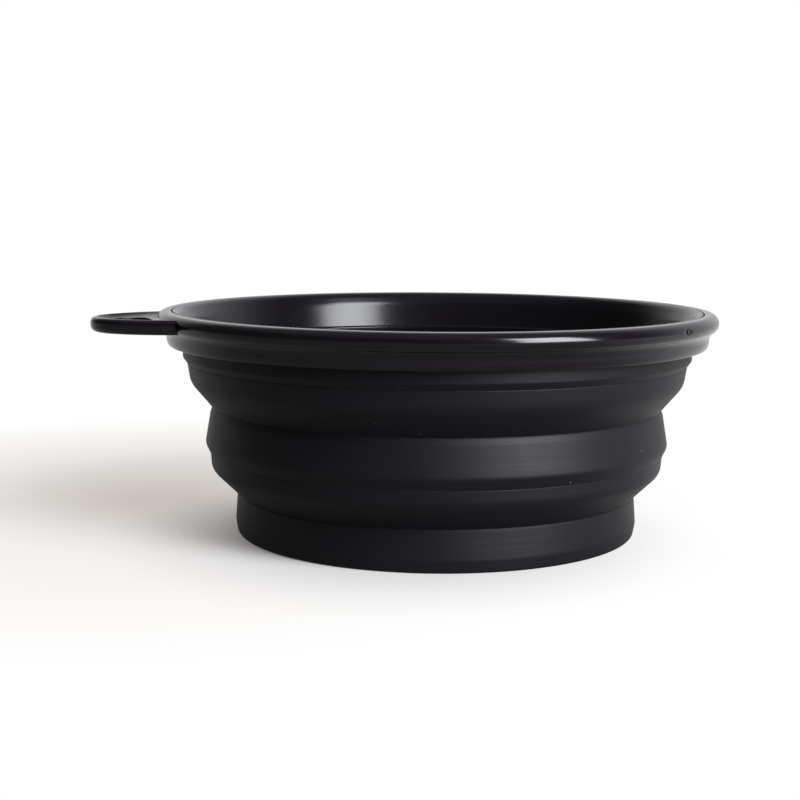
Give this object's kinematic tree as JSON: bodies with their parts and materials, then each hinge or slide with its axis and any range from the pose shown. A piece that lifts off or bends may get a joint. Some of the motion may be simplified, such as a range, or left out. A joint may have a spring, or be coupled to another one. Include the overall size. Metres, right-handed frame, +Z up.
{
  "type": "collapsible pet bowl",
  "caption": "Round black silicone pet bowl on a hard plastic rim with a hang loop; two fold walls turn inside out so that the bowl collapses flat.",
  "frame": {"origin": "on the bowl's axis, on the flat face it stands on", "axes": "+Z up out of the bowl's mouth, -X towards the hang loop"},
  "size_m": [0.145, 0.13, 0.052],
  "materials": {
    "rim_plastic": "black moulded polypropylene, satin",
    "silicone": "black moulded silicone, soft satin"
  },
  "bodies": {
    "base": {"base_floor": "silicone", "base_band": "silicone", "lower_fold_wall": "silicone"},
    "middle": {"middle_band": "silicone", "upper_fold_wall": "silicone"},
    "rim": {"silicone_collar": "silicone", "rim_ring": "rim_plastic"}
  },
  "joints": [
    {"name": "lower_fold", "type": "slide", "parent": "base", "child": "middle", "axis": [0, 0, -1], "range_m": [0, 0.0175], "deforming": ["lower_fold_wall"]},
    {"name": "upper_fold", "type": "slide", "parent": "middle", "child": "rim", "axis": [0, 0, -1], "range_m": [0, 0.0205], "deforming": ["upper_fold_wall"]}
  ]
}
